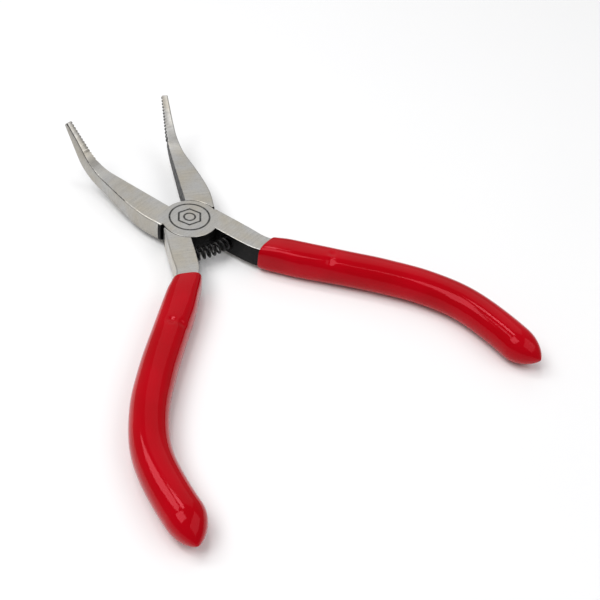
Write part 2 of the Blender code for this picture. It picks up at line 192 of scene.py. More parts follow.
# A jaw narrows and thins towards its tip, and its nose is bent up. Each pair is a distance from the
# pivot with the width, the loss of thickness, or the lean of the outer side at its top edge.
JAW_START = 3.6
JAW_WIDTHS = [(3.6, 6.75), (9.0, 6.95), (14.0, 6.4), (22.0, 4.75), (28.0, 3.6), (35.0, 2.75), (44.0, 1.75)]
JAW_THINNING = [(11.0, 0.0), (27.5, 1.75), (31.0, 2.15), (35.0, 2.95), (43.0, 4.35)]
JAW_TOP_INSETS = [(20.0, 0.0), (28.0, 0.3), (35.0, 0.6), (43.0, 0.35)]
JAW_BEND_START = 25.6
JAW_BEND_RADIUS = 11.4
JAW_BEND_DEG = 45.0
JAW_NOSE_LENGTH = 8.3
JAW_EDGE_RADIUS = 0.9
JAW_TIP_EDGE_RADIUS = 0.35
UPPER_JAW_SET_DEG = 0.8
JAW_CROWN = 0.12

# The mating faces meet at the teeth and are relieved behind them. A land is the flat top of a
# tooth, as a share of the pitch.
MATING_GAP = 0.06
RELIEF_DEPTH = 0.1
TOOTH_PITCH = 0.8
TOOTH_DEPTH = 0.26
TOOTH_LAND = 0.3
TOOTH_COUNT = 14

# A tang runs straight from the shoulder, narrows inside the grip and ends short of its nose.
TANG_START = -2.3
TANG_INNER_X = 1.3
TANG_WIDTH = 5.75
TANG_OUTER_EDGE_RADIUS = 0.45
TANG_INNER_EDGE_RADIUS = 0.16
TANG_HIDDEN_WIDTH = 4.6
TANG_END_INSET = 9.0

# The handle's centreline bows out and comes back in. GRIP_MOUTH is the lip's distance from the
# shoulder.
HANDLE_SET_DEG = 0.35
HANDLE_BEND_Y = -16.0
HANDLE_POINTS = [
    (7.2, -25.0), (11.8, -35.0), (16.3, -45.0), (19.8, -55.0), (21.2, -65.0), (19.6, -75.0), (15.7, -87.3)
]
GRIP_MOUTH = 17.3

# The spring's pockets are drilled into the tangs, and the rivet's bore through the discs.
SPRING_RADIUS = 1.7
SPRING_Y = -10.2
POCKET_DEPTH = 2.0
POCKET_RADIUS = 1.95
POCKET_POINT = (0.3, 0.4)
BORE_RADIUS = 2.02
RIVET_HEAD_RADIUS = 3.2
RIVET_HEAD_HEIGHT = 1.1
RIVET_END_COVER = 0.4
RIVET_SINK_ROOM = 0.04


def skin(rings):
    """Points and faces of a closed skin through rings of equal length, with flat ends."""
    count = len(rings[0])
    points = [point for ring in rings for point in ring]
    faces = [list(range(count)), list(range(len(points) - count, len(points)))]
    for row in range(len(rings) - 1):
        for column in range(count):
            following = (column + 1) % count
            a = row * count
            faces.append([a + column, a + following, a + count + following, a + count + column])
    return points, faces


def turned(profile, steps=96):
    """Points and faces of a solid turned about Z from (radius, height) pairs, bottom to top."""
    angles = [2 * math.pi * step / steps for step in range(steps)]
    circle = [(math.cos(angle), math.sin(angle)) for angle in angles]
    return skin([[(radius * c, radius * s, height) for c, s in circle] for radius, height in profile])


def solid(name, points, faces):
    """A closed mesh object from points in millimetres, with its faces turned outwards."""
    mesh = bpy.data.meshes.new(name)
    mesh.from_pydata([Vector(point) * MM for point in points], [], faces)
    work = bmesh.new()
    work.from_mesh(mesh)
    bmesh.ops.recalc_face_normals(work, faces=work.faces)
    work.to_mesh(mesh)
    work.free()
    item = bpy.data.objects.new(name, mesh)
    bpy.context.scene.collection.objects.link(item)
    return item


def work_on(item, helper, operation):
    """Forges a solid onto a piece (UNION), or machines it away (DIFFERENCE)."""
    change = item.modifiers.new("work", "BOOLEAN")
    change.operation = operation
    change.object = helper
    change.solver = "EXACT"
    bpy.context.view_layer.update()
    finished = bpy.data.meshes.new_from_object(item.evaluated_get(bpy.context.evaluated_depsgraph_get()))
    item.modifiers.clear()
    item.data = finished
    bpy.data.objects.remove(helper)


def shade(item, angle_deg=32):
    """Smooth shading with crisp edges, in which the flats stay flat."""
    item.data.shade_smooth()
    item.data.set_sharp_from_angle(angle=math.radians(angle_deg))
    weighted = item.modifiers.new("flats", "WEIGHTED_NORMAL")
    weighted.keep_sharp = True
    weighted.weight = 80


def smooth_through(pairs, place):
    """Value at a place on a smooth curve through (place, value) pairs, held flat at the ends."""
    if place <= pairs[0][0]:
        return pairs[0][1]
    if place >= pairs[-1][0]:
        return pairs[-1][1]
    slopes = []
    for index in range(len(pairs)):
        before = pairs[max(index - 1, 0)]
        after = pairs[min(index + 1, len(pairs) - 1)]
        slopes.append((after[1] - before[1]) / (after[0] - before[0]))
    index = max(k for k in range(len(pairs) - 1) if pairs[k][0] <= place)
    span = pairs[index + 1][0] - pairs[index][0]
    t = (place - pairs[index][0]) / span
    start = (2 * t**3 - 3 * t**2 + 1) * pairs[index][1] + (t**3 - 2 * t**2 + t) * span * slopes[index]
    return start + (3 * t**2 - 2 * t**3) * pairs[index + 1][1] + (t**3 - t**2) * span * slopes[index + 1]


def rounded_section(left, right, low, high, radii, crown=0.0, steps=4):
    """Outline of a box section with its own radius at (left, low), (right, low), (right, high)
    and (left, high), and with its left side crowned outwards."""
    outline = []
    corners = [(left, low, 180), (right, low, 270), (right, high, 0), (left, high, 90)]
    for (x, y, start), radius in zip(corners, radii):
        centre_x = x + radius * (1 if x == left else -1)
        centre_y = y + radius * (1 if y == low else -1)
        for step in range(steps + 1):
            angle = math.radians(start + 90 * step / steps)
            outline.append((centre_x + radius * math.cos(angle), centre_y + radius * math.sin(angle)))
    side_high = high - radii[3]
    side_low = low + radii[0]
    for step in range(1, steps):
        t = step / steps
        outline.append((left - crown * 4 * t * (1 - t), side_high + (side_low - side_high) * t))
    return outline


def jaw_length():
    """Length of a jaw's top edge, measured from the pivot."""
    return JAW_BEND_START + JAW_BEND_RADIUS * math.radians(JAW_BEND_DEG) + JAW_NOSE_LENGTH


def jaw_frame(distance):
    """Place (y, z) and slope of a jaw's top edge at a distance from the pivot."""
    turn = min(max(distance - JAW_BEND_START, 0.0) / JAW_BEND_RADIUS, math.radians(JAW_BEND_DEG))
    beyond = max(distance - JAW_BEND_START - JAW_BEND_RADIUS * math.radians(JAW_BEND_DEG), 0.0)
    y = min(distance, JAW_BEND_START) + JAW_BEND_RADIUS * math.sin(turn) + beyond * math.cos(turn)
    z = HEAD_THICKNESS + JAW_BEND_RADIUS * (1 - math.cos(turn)) + beyond * math.sin(turn)
    return y, z, turn


def jaw_ring(side, distance, inner, trim=0.0):
    """Cross-section of a jaw, square to its top edge; trim draws it in all round for an end."""
    y, z, turn = jaw_frame(distance)
    thickness = HEAD_THICKNESS - smooth_through(JAW_THINNING, distance)
    radius = JAW_TIP_EDGE_RADIUS + (JAW_EDGE_RADIUS - JAW_TIP_EDGE_RADIUS) * (1 - distance / jaw_length())
    width = smooth_through(JAW_WIDTHS, distance)
    radii = (radius, EDGE_BREAK, EDGE_BREAK, 0.5 * radius)
    crown = JAW_CROWN * width / JAW_WIDTHS[0][1]
    inset = smooth_through(JAW_TOP_INSETS, distance)
    settle = Matrix.Rotation(math.radians(-UPPER_JAW_SET_DEG if side > 0 else 0.0), 3, "Z")
    ring = []
    for across, up in rounded_section(-width + trim, -inner - trim, -thickness + trim, -trim, radii, crown):
        lean = inset * (1 + up / thickness) * (across + inner) / (inner - width)
        place = Vector((side * (across + lean), y - up * math.sin(turn), z + up * math.cos(turn)))
        ring.append(settle @ place)
    return ring


def jaw_rings(side):
    """Sections from the shoulder to the tip, with the teeth cut into the mating face."""
    teeth_start = jaw_length() - TOOTH_COUNT * TOOTH_PITCH
    face = MATING_GAP / 2
    relieved = face + RELIEF_DEPTH
    rings = [jaw_ring(side, JAW_START, relieved, EDGE_BREAK)]
    rings.append(jaw_ring(side, JAW_START + EDGE_BREAK, relieved))
    plain_steps = 34
    for step in range(1, plain_steps):
        place = JAW_START + (teeth_start - JAW_START) * step / plain_steps
        rings.append(jaw_ring(side, place, relieved))
    flank = (1 - TOOTH_LAND) / 2 * TOOTH_PITCH
    for tooth in range(TOOTH_COUNT):
        root = teeth_start + tooth * TOOTH_PITCH
        rings.append(jaw_ring(side, root, face + TOOTH_DEPTH))
        rings.append(jaw_ring(side, root + flank, face))
        rings.append(jaw_ring(side, root + TOOTH_PITCH - flank, face))
    rings.append(jaw_ring(side, jaw_length() - EDGE_BREAK, face + TOOTH_DEPTH / 2))
    rings.append(jaw_ring(side, jaw_length(), face + TOOTH_DEPTH / 2, EDGE_BREAK))
    return rings


def handle_points(spacing):
    """Centreline of a tang and its grip as (x, y) points at an even spacing."""
    centre_x = TANG_INNER_X + TANG_WIDTH / 2
    knots = [(centre_x, TANG_START), (centre_x, HANDLE_BEND_Y)] + HANDLE_POINTS
    dense = []
    for index in range(1, len(knots)):
        before = Vector(knots[max(index - 2, 0)])
        start = Vector(knots[index - 1])
        end = Vector(knots[index])
        after = Vector(knots[min(index + 1, len(knots) - 1)])
        leave = Vector((0.0, -1.0)) if index <= 2 else (end - before).normalized()
        arrive = Vector((0.0, -1.0)) if index == 1 else (after - start).normalized()
        reach = (end - start).length
        for step in range(20):
            t = step / 20
            dense.append(
                (2 * t**3 - 3 * t**2 + 1) * start
                + (t**3 - 2 * t**2 + t) * reach * leave
                + (3 * t**2 - 2 * t**3) * end
                + (t**3 - t**2) * reach * arrive
            )
    dense.append(Vector(knots[-1]))
    even = [dense[0]]
    carried = 0.0
    for a, b in zip(dense, dense[1:]):
        reach = (b - a).length
        while carried + reach >= spacing:
            a = a.lerp(b, (spacing - carried) / reach)
            reach = (b - a).length
            carried = 0.0
            even.append(a)
        carried += reach
    return even


HANDLE_SPACING = 0.25
handle_line = handle_points(HANDLE_SPACING)
handle_length = HANDLE_SPACING * (len(handle_line) - 1)


def handle_ring(side, distance, outline, level=0.0):
    """Lays a section's (sideways, up) outline across the handle, square to the handle at level 0
    and square to the straight tang at level 1."""
    index = min(max(int(distance / HANDLE_SPACING), 0), len(handle_line) - 3)
    a = handle_line[index]
    b = handle_line[index + 1]
    c = handle_line[index + 2]
    share = distance / HANDLE_SPACING - index
    along = (b - a).normalized().lerp((c - b).normalized(), min(max(share - 0.5, 0.0), 1.0)).normalized()
    centre = a + (b - a) * share
    square = Vector((-along.y, along.x))
    sideways = square.lerp(Vector((1.0, 0.0)), level)
    sideways = sideways / sideways.dot(square)
    settle = Matrix.Rotation(math.radians(HANDLE_SET_DEG), 3, "Z")
    ring = []
    for across, up in outline:
        place = centre + sideways * across
        ring.append(settle @ Vector((side * place.x, place.y, HEAD_THICKNESS / 2 + up)))
    return ring


def tang_width(distance):
    """Width of the tang at a distance from its shoulder. It narrows around the grip's lip."""
    narrowing = [(0.0, TANG_WIDTH), (GRIP_MOUTH - 6.0, TANG_WIDTH), (GRIP_MOUTH + 4.0, TANG_HIDDEN_WIDTH)]
    return smooth_through(narrowing, distance)


def tang_section(distance, grow=0.0, trim=0.0):
    """Outline of the tang's section, grown all round for its socket or trimmed for its end."""
    half = tang_width(distance) / 2 + grow - trim
    high = HEAD_THICKNESS / 2 + grow - trim
    inner = TANG_INNER_EDGE_RADIUS
    outer = TANG_OUTER_EDGE_RADIUS
    return rounded_section(-half, half, -high, high, (inner, outer, outer, inner))


def tang_rings(side):
    """Sections of the bare tang and of the part that runs on inside the grip."""
    end = handle_length - TANG_END_INSET
    rings = [handle_ring(side, 0.0, tang_section(0.0, trim=EDGE_BREAK))]
    steps = 56
    closer_at_shoulder = 1.2
    for step in range(steps + 1):
        place = EDGE_BREAK + (end - EDGE_BREAK) * (step / steps) ** closer_at_shoulder
        rings.append(handle_ring(side, place, tang_section(place)))
    return rings


def disc(name, low, high):
    """Half of the lap joint: a flat disc whose rims are just broken."""
    rim = HEAD_RADIUS - EDGE_BREAK
    profile = [(rim, low), (HEAD_RADIUS, low + EDGE_BREAK), (HEAD_RADIUS, high - EDGE_BREAK), (rim, high)]
    return solid(name, *turned(profile, 128))


def lever(name, side):
    """One forging, as it lies when the pliers are closed: side +1 has its jaw on the left and its
    disc on top, and side -1 is the other one."""
    middle = HEAD_THICKNESS / 2
    on_top = side > 0
    item = solid(name, *skin(tang_rings(side)))
    work_on(item, solid("jaw", *skin(jaw_rings(side))), "UNION")

    # The other lever's disc turns in a round step milled through both shoulders, whose mouth is
    # broken like the other edges.
    wide = HEAD_RADIUS + DISC_CLEARANCE
    mouth = wide + EDGE_BREAK
    if on_top:
        face = middle + LAP_GAP / 2
        profile = [(mouth, -CUT_BEYOND), (mouth, 0.0), (wide, EDGE_BREAK), (wide, face)]
    else:
        face = middle - LAP_GAP / 2
        profile = [(wide, face), (wide, HEAD_THICKNESS - EDGE_BREAK)]
        profile += [(mouth, HEAD_THICKNESS), (mouth, HEAD_THICKNESS + CUT_BEYOND)]
    work_on(item, solid("step", *turned(profile, 128)), "DIFFERENCE")
    low, high = (face, HEAD_THICKNESS) if on_top else (0.0, face)
    work_on(item, disc("disc", low, high), "UNION")

    # The top lever's bore is filled by the rivet's end and ground over; the lower one's is sunk.
    top = HEAD_THICKNESS - RIVET_END_COVER if on_top else HEAD_THICKNESS + CUT_BEYOND
    work_on(item, solid("bore", *turned([(BORE_RADIUS, -CUT_BEYOND), (BORE_RADIUS, top)])), "DIFFERENCE")
    if not on_top:
        sunk_radius = RIVET_HEAD_RADIUS + RIVET_SINK_ROOM
        sink = [(sunk_radius, -0.01), (BORE_RADIUS, RIVET_HEAD_HEIGHT + RIVET_SINK_ROOM)]
        work_on(item, solid("sink", *turned(sink)), "DIFFERENCE")

    # A blind round pocket in the tang's inner face holds the end of the spring.
    point_radius, point_depth = POCKET_POINT
    wall_depth = POCKET_DEPTH - point_depth
    drilled = [(POCKET_RADIUS, -CUT_BEYOND), (POCKET_RADIUS, wall_depth), (point_radius, POCKET_DEPTH)]
    points, faces = turned(drilled, 64)
    placed = [(side * (TANG_INNER_X + z), SPRING_Y + y, middle + x) for x, y, z in points]
    work_on(item, solid("pocket", placed, faces), "DIFFERENCE")
    return item


# Belt-ground carbon steel: an even light grey with a faint warm drift. The belt leaves fine scratches
# across the jaws; they are 0.05 mm apart on the tool and are drawn 0.12 mm apart so that they show.
def ground_steel(name, swing, clean, warm, dull, shine, marked=False):
    """Belt-ground steel. A marked one carries the etched ring and nut on the disc."""
    material, tree = finish_named(name)
    fine = cloudiness(tree, (3.0, 0.12, 0.5), 2.0, 0.0, 0.6, swing)
    deep = cloudiness(tree, (8.0, 0.5, 1.5), 2.0, 1.0, 0.6, swing)
    grain = add(tree, "Math", [fine, 0.6, deep], operation="MULTIPLY_ADD")
    drift = cloudiness(tree, (6.0, 5.0, 6.0), 2.0, 3.0, 0.5, swing)
    drift = add(tree, "MapRange", [drift, 0.35, 0.65, 0.0, 1.0])
    tone = add(tree, "MixRGB", [drift, linear(clean), linear(warm)])
    specks = cloudiness(tree, (0.35, 0.22, 0.3), 3.0, 11.0, 0.6, swing)
    specks = add(tree, "MapRange", [specks, 0.5, 0.74, 0.0, 0.45])
    tone = add(tree, "MixRGB", [specks, tone, linear(dull)])
    lines = add(tree, "MapRange", [grain, 0.6, 1.0, 0.93, 1.06])
    tone = add(tree, "VectorMath", {0: tone, "Scale": lines}, operation="SCALE")
    rough = add(tree, "MapRange", [grain, 0.6, 1.05, shine + 0.06, shine - 0.04])
    height = grain
    if marked:
        mark = etched_mark(tree)
        tone = add(tree, "MixRGB", [mark, tone, linear("#1C1C1E")])
        rough = add(tree, "Math", [mark, 0.2, rough], operation="MULTIPLY_ADD")
        height = add(tree, "Math", [mark, -3.0, grain], operation="MULTIPLY_ADD")
    bump = add(tree, "Bump", {"Height": height, "Strength": 0.3, "Distance": 0.006 * MM})
    steel = {"Base Color": tone, "Metallic": 1.0, "Roughness": rough, "Normal": bump}
    add(tree, "OutputMaterial", [add(tree, "BsdfPrincipled", steel)])
    return material


# The mark is generic: a plain ring round the outline of a hexagon nut, laser-etched dark grey.
MARK_CENTRE = (0.10, 0.59)
MARK_RING = 4.85
MARK_NUT = 2.6
MARK_HOLE = 1.35
MARK_LINE = 0.42
MARK_TURN_DEG = 29


def etched_mark(tree):
    """1 on the etched lines and 0 elsewhere, on the top of the disc."""
    place = add(tree, "TexCoord", []).outputs["Object"]
    offset = (-MARK_CENTRE[0] * MM, -MARK_CENTRE[1] * MM, 0.0)
    moved = add(tree, "VectorMath", [place, offset], operation="ADD")
    flat = add(tree, "VectorMath", [moved, (1.0, 1.0, 0.0)], operation="MULTIPLY")
    reach = add(tree, "VectorMath", [flat], operation="LENGTH").outputs["Value"]
    nut = 0.0
    for step in range(3):
        angle = math.radians(60 * step + MARK_TURN_DEG)
        facing = (math.cos(angle), math.sin(angle), 0.0)
        across = add(tree, "VectorMath", [flat, facing], operation="DOT_PRODUCT").outputs["Value"]
        across = add(tree, "Math", [across], operation="ABSOLUTE")
        nut = add(tree, "Math", [nut, across], operation="MAXIMUM")
    lines = 0.0
    for distance, size in ((reach, MARK_RING), (nut, MARK_NUT), (reach, MARK_HOLE)):
        off = add(tree, "Math", [distance, size * MM], operation="SUBTRACT")
        off = add(tree, "Math", [off], operation="ABSOLUTE")
        line = add(tree, "MapRange", [off, 0.35 * MARK_LINE * MM, 0.75 * MARK_LINE * MM, 1.0, 0.0])
        lines = add(tree, "Math", [lines, line], operation="MAXIMUM")
    patchy = add(tree, "MapRange", [cloudiness(tree, (0.5, 0.5, 0.5), 2.0), 0.3, 0.6, 0.7, 0.95])
    return add(tree, "Math", [lines, patchy], operation="MULTIPLY")


# Black oxide over the as-forged skin: near black, satin, with grey-brown rub where the parts slide.
black, tree = finish_named("black_oxide_steel")
rub = add(tree, "MapRange", [cloudiness(tree, (1.6, 1.1, 1.3), 4.0, 2.0, 0.6), 0.5, 0.75, 0.0, 1.0])
tone = add(tree, "MixRGB", [rub, linear("#0D0D0E"), linear("#1F1D1C")])
rough = add(tree, "MapRange", [cloudiness(tree, (0.9, 0.9, 0.9), 3.0, 5.0), 0.3, 0.7, 0.34, 0.55])
pits = cloudiness(tree, (0.35, 0.35, 0.35), 3.0, 9.0, 0.6)
bump = add(tree, "Bump", {"Height": pits, "Strength": 0.5, "Distance": 0.02 * MM})
oxide = {"Base Color": tone, "Metallic": 0.15, "Specular IOR Level": 0.18, "Roughness": rough, "Normal": bump}
add(tree, "OutputMaterial", [add(tree, "BsdfPrincipled", oxide)])

# The rolled edge between a jaw's back and its side is painted dark grey: a painted reflection of the dark
# surroundings that the edge looks at.
edge, tree = finish_named("painted_dark_reflection_edge_steel")
dark_line_variation = add(tree, "MapRange", [cloudiness(tree, (0.8, 0.5, 0.8), 3.0, 4.0), 0.4, 0.62, 0.0, 1.0])
tone = add(tree, "MixRGB", [dark_line_variation, linear("#4A4A49"), linear("#77756F")])
rough = add(tree, "MapRange", [cloudiness(tree, (0.4, 0.4, 0.4), 2.0, 6.0), 0.3, 0.7, 0.3, 0.42])
rolled = add(tree, "BsdfPrincipled", {"Base Color": tone, "Metallic": 0.9, "Roughness": rough})
add(tree, "OutputMaterial", [rolled])

# The belt reaches the flats and the jaws' backs. The inner faces keep the oxide, and so do the sides close to
# the head. The tooth lands are milled and dull, the jaws' outer sides are a little rougher than the flats and
# painted darker, partly as painted shade, the rolled edges carry a painted dark reflection, and the disc on
# top carries the mark. These limits are millimetres.
ROLLED_EDGE_FROM = 16.0
HEAD_OXIDE_MARGIN = 1.2
HEAD_OXIDE_TO = 12.0


def finish_lever(item, label, side):
    """Gives each face the finish that its place and its lean on the lever got in the works, with painted
    shade on the jaws' outer sides and a painted dark reflection on their rolled edges.
    """
    swing = math.radians(side * OPENING_DEG / 2)
    finishes = {
        "ground": ground_steel("belt_ground_steel_" + label, swing, "#C8C7C5", "#C6C0B4", "#9A9792", 0.32),
        "black": black,
        "tooth": ground_steel("milled_tooth_steel_" + label, swing, "#6E6D6A", "#66635D", "#4A4845", 0.4),
        "etched": ground_steel("etched_steel_" + label, swing, "#C4C3C1", "#C4BFB5", "#9A9792", 0.34, True),
        "edge": edge,
        "side": ground_steel("rougher_shaded_side_steel_" + label, swing, "#B6B5B2", "#B0ABA1", "#85827D", 0.38),
    }
    for finish in finishes.values():
        item.data.materials.append(finish)
    slots = list(finishes)
    teeth_y = jaw_frame(jaw_length() - TOOTH_COUNT * TOOTH_PITCH)[0]
    lap = HEAD_THICKNESS / 2
    for face in item.data.polygons:
        centre = face.center / MM
        reach = math.hypot(centre.x, centre.y)
        # How far the face looks at the other lever, and how far it looks up from the bent jaw.
        inward = face.normal.x * side * (1 if centre.y > 0 else -1)
        bent = min(max(centre.y - JAW_BEND_START, 0.0) / JAW_BEND_RADIUS, 1.0)
        slope = min(math.asin(bent), math.radians(JAW_BEND_DEG))
        upward = face.normal.z * math.cos(slope) - face.normal.y * math.sin(slope)
        choice = "ground"
        on_a_side = abs(upward) < 0.35
        if on_a_side:
            if centre.y > JAW_START and inward > 0.5:
                choice = "tooth" if centre.y > teeth_y - 0.3 and inward > 0.97 else "black"
            elif reach < HEAD_RADIUS + HEAD_OXIDE_MARGIN and centre.y < HEAD_OXIDE_TO:
                choice = "black"
            elif centre.y < 0 and inward > 0.2:
                choice = "black"
        elif abs(centre.z - lap) < 0.2 and reach < HEAD_RADIUS + 0.5:
            choice = "black"
        elif side > 0 and reach < HEAD_RADIUS and face.normal.z > 0.9 and centre.z > HEAD_THICKNESS - 0.05:
            choice = "etched"
        # The jaws' rolled edges take the dark edge steel, a painted dark reflection.
        if centre.y > ROLLED_EDGE_FROM and 0.4 < upward < 0.93 and inward < -0.3:
            choice = "edge"
        # The jaws' outer sides take the side steel, rougher than the flats and darker; the darker tone is
        # partly painted shade.
        elif centre.y > JAW_START and choice == "ground" and inward < -0.4:
            choice = "side"
        face.material_index = slots.index(choice)


def swing_open(item, side):
    """Swings a piece about the pivot, from where it lies closed to the relaxed spring's opening."""
    item.data.transform(Matrix.Rotation(math.radians(side * OPENING_DEG / 2), 4, "Z"))


SIDES = {"upper": 1, "lower": -1}
for label, side in SIDES.items():
    piece = lever(label + "_lever_steel", side)
    finish_lever(piece, label, side)
    swing_open(piece, side)
    shade(piece)
    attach(piece, label + "_side")
    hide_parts(label + "_lever")

# ---------------------------------------------------------------- rivet
# A turned steel rivet, its countersunk head flush with the underside. Its shank is peened in the
# top lever and ground over, so only the head's face shows, with turning rings from the facing cut.
#
# Faced steel: dull grey rings round the centre. They are about 0.1 mm apart on the tool and are
# drawn 0.69 mm apart so that they show. A wave pattern of scale 1 has WAVES_A_UNIT rings to a unit.
FACING_RINGS_APART = 0.69
WAVES_A_UNIT = 20 / (2 * math.pi)
turned_steel, tree = finish_named("faced_rivet_steel")
rings = {
    "Vector": add(tree, "TexCoord", []).outputs["Object"],
    "Scale": 1 / (FACING_RINGS_APART * MM * WAVES_A_UNIT),
    "Distortion": 0.6,
    "Detail": 2.0,
}
grooves = add(tree, "TexWave", rings, wave_type="RINGS", rings_direction="Z").outputs["Fac"]
tone = add(tree, "MixRGB", [cloudiness(tree, (1.5, 1.5, 1.5), 3.0), linear("#A8A7A4"), linear("#8F8D89")])
bump = add(tree, "Bump", {"Height": grooves, "Strength": 0.4, "Distance": 0.01 * MM})
rough = add(tree, "MapRange", [grooves, 0.0, 1.0, 0.3, 0.42])
faced = {"Base Color": tone, "Metallic": 1.0, "Roughness": rough, "Normal": bump}
add(tree, "OutputMaterial", [add(tree, "BsdfPrincipled", faced)])

RIVET_RADIUS = 2.0
RIVET_END_ROOM = 0.02
RIVET_END_BREAK = 0.1
RIVET_HEAD_BREAK = (0.08, 0.06)
rivet_end = HEAD_THICKNESS - RIVET_END_COVER - RIVET_END_ROOM
rivet_profile = [
    (RIVET_HEAD_RADIUS - RIVET_HEAD_BREAK[0], 0.0),
    (RIVET_HEAD_RADIUS, RIVET_HEAD_BREAK[1]),
    (RIVET_RADIUS, RIVET_HEAD_HEIGHT),
    (RIVET_RADIUS, rivet_end - RIVET_END_BREAK),
    (RIVET_RADIUS - RIVET_END_BREAK, rivet_end),
]
piece = solid("rivet_steel", *turned(rivet_profile))
piece.data.materials.append(turned_steel)
shade(piece)
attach(piece, "upper_side")
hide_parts("pivot_rivet")

# ---------------------------------------------------------------- spring
# A coil spring of round spring-steel wire, blacked after coiling. Its closed end turns sit in the
# two pockets, and it bows round the head because the tangs it pushes on are swung apart.
#
# The bending reach is a share of the spring end's distance from the centreline; nothing in the script uses
# it.
SPRING_WIRE_RADIUS = 0.28
SPRING_TURNS = 10.5
SPRING_END_GAP = 0.15
CLOSED_TURN_PITCH = 2.1 * SPRING_WIRE_RADIUS
COIL_POINTS_A_TURN = 28
BENDING_REACH = 1.25

# Blacked spring wire: a satin black-brown skin with fine drawing marks that catch the light.
wire, tree = finish_named("blacked_spring_wire")
draw = cloudiness(tree, (0.25, 0.25, 0.25), 3.0, 1.0, 0.6)
marks = add(tree, "MapRange", [draw, 0.45, 0.7, 0.0, 1.0])
tone = add(tree, "MixRGB", [marks, linear("#1F1F21"), linear("#3B3937")])
bump = add(tree, "Bump", {"Height": draw, "Strength": 0.3, "Distance": 0.01 * MM})
rough = add(tree, "MapRange", [draw, 0.3, 0.7, 0.24, 0.4])
blacked = {"Base Color": tone, "Metallic": 0.7, "Roughness": rough, "Normal": bump}
add(tree, "OutputMaterial", [add(tree, "BsdfPrincipled", blacked)])

half_open = math.radians(OPENING_DEG / 2)
spring_end_x = TANG_INNER_X + POCKET_DEPTH - SPRING_WIRE_RADIUS - SPRING_END_GAP
spring_end = Matrix.Rotation(half_open, 3, "Z") @ Vector((spring_end_x, SPRING_Y, 0.0))
bow_radius = spring_end.x / math.sin(half_open)
bow_centre_y = spring_end.y + bow_radius * math.cos(half_open)
coil_radius = SPRING_RADIUS - SPRING_WIRE_RADIUS
closed_turn = 1.0 / SPRING_TURNS
closed_rise = CLOSED_TURN_PITCH / (2 * half_open * bow_radius)
steps = int(SPRING_TURNS * COIL_POINTS_A_TURN)
coil = bpy.data.curves.new("coil", "CURVE")
coil.dimensions = "3D"
coil.bevel_depth = SPRING_WIRE_RADIUS * MM
coil.bevel_resolution = 4
coil.use_fill_caps = True
line = coil.splines.new("POLY")
line.points.add(steps)
for step in range(steps + 1):
    share = step / steps
    if share < closed_turn:
        rise = closed_rise * share / closed_turn
    elif share > 1 - closed_turn:
        rise = 1 - closed_rise * (1 - share) / closed_turn
    else:
        rise = closed_rise + (1 - 2 * closed_rise) * (share - closed_turn) / (1 - 2 * closed_turn)
    along = half_open * (2 * rise - 1)
    turn = 2 * math.pi * SPRING_TURNS * share
    reach = bow_radius - coil_radius * math.cos(turn)
    height = HEAD_THICKNESS / 2 + coil_radius * math.sin(turn)
    place = Vector((reach * math.sin(along), bow_centre_y - reach * math.cos(along), height))
    line.points[step].co = (*(place * MM), 1.0)
former = bpy.data.objects.new("former", coil)
bpy.context.scene.collection.objects.link(former)
bpy.context.view_layer.update()
coil_mesh = bpy.data.meshes.new_from_object(former.evaluated_get(bpy.context.evaluated_depsgraph_get()))
bpy.data.objects.remove(former)
piece = bpy.data.objects.new("coil_spring", coil_mesh)
bpy.context.scene.collection.objects.link(piece)
piece.data.materials.clear()
piece.data.materials.append(wire)
piece.data.shade_smooth()
reach = BENDING_REACH * spring_end.x
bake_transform(piece)
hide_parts("return_spring")

# ---------------------------------------------------------------- grips
# Each tang is dipped hot in red plastisol, a liquid vinyl, and cured. The coat is thick, glossy and
# a little wavy, follows the tang's square corners near the lip, and runs to a soft point at the nose.
GRIP_FACE_WALL = 1.25
GRIP_BODY_WIDTH = 8.25
GRIP_LIP_WIDTH = 6.75
GRIP_LIP_BEAD = 0.42
GRIP_LEVELLING = 7.0
GRIP_NOSE_LENGTH = 7.0
GRIP_NOSE_POINT = 1.45
GRIP_NOSE_OFFSET = 1.1
GRIP_THICKNESS = HEAD_THICKNESS + 2 * GRIP_FACE_WALL
GRIP_NOSE_END_DEG = 88.5
GRIP_WAVE = 0.05
GRIP_WAVE_STRETCH = (0.16, 0.11, 0.3)
GRIP_WAVE_SINK = 0.4
SOCKET_ROOM = 0.015
SOCKET_END_ROOM = 0.05
SOCKET_SQUARENESS = 2.7
GRIP_POINTS = 72
GRIP_SOCKET_STEPS = 30
GRIP_BEAD_STEPS = 6
GRIP_BODY_STEPS = 220
GRIP_NOSE_STEPS = 22

# Sizes down the grip as (distance below the lip, value). It widens below the lip to an even body,
# and its section is nearly square at the lip and rounder towards the nose.
grip_length = handle_length - GRIP_MOUTH
body_length = grip_length - GRIP_NOSE_LENGTH
GRIP_WIDTHS = [
    (0.0, GRIP_LIP_WIDTH),
    (4.0, 7.4),
    (9.0, 7.95),
    (16.0, 8.05),
    (26.0, GRIP_BODY_WIDTH),
    (70.0, GRIP_BODY_WIDTH),
]
GRIP_DEPTHS = [(0.0, 7.3), (4.0, 7.8), (9.0, GRIP_THICKNESS), (70.0, GRIP_THICKNESS)]
GRIP_SQUARENESS = [(0.0, 3.4), (8.0, 2.9), (18.0, 2.5), (32.0, 2.3), (70.0, 2.2)]

# Two small dents lie side by side across the top, nearer the inner side.
DENT_BELOW = 15.8
DENT_INWARD = 1.3
DENT_APART = 2.4
DENT_RADIUS = 0.85
DENT_DEPTH = 0.34


def grip_outline(width, height, squareness):
    """A section between a round one (squareness 2) and a square one."""
    outline = []
    for step in range(GRIP_POINTS):
        angle = 2 * math.pi * (step + 0.5) / GRIP_POINTS
        c = math.cos(angle)
        s = math.sin(angle)
        across = math.copysign(abs(c) ** (2 / squareness), c) * width / 2
        up = math.copysign(abs(s) ** (2 / squareness), s) * height / 2
        outline.append((across, up))
    return outline


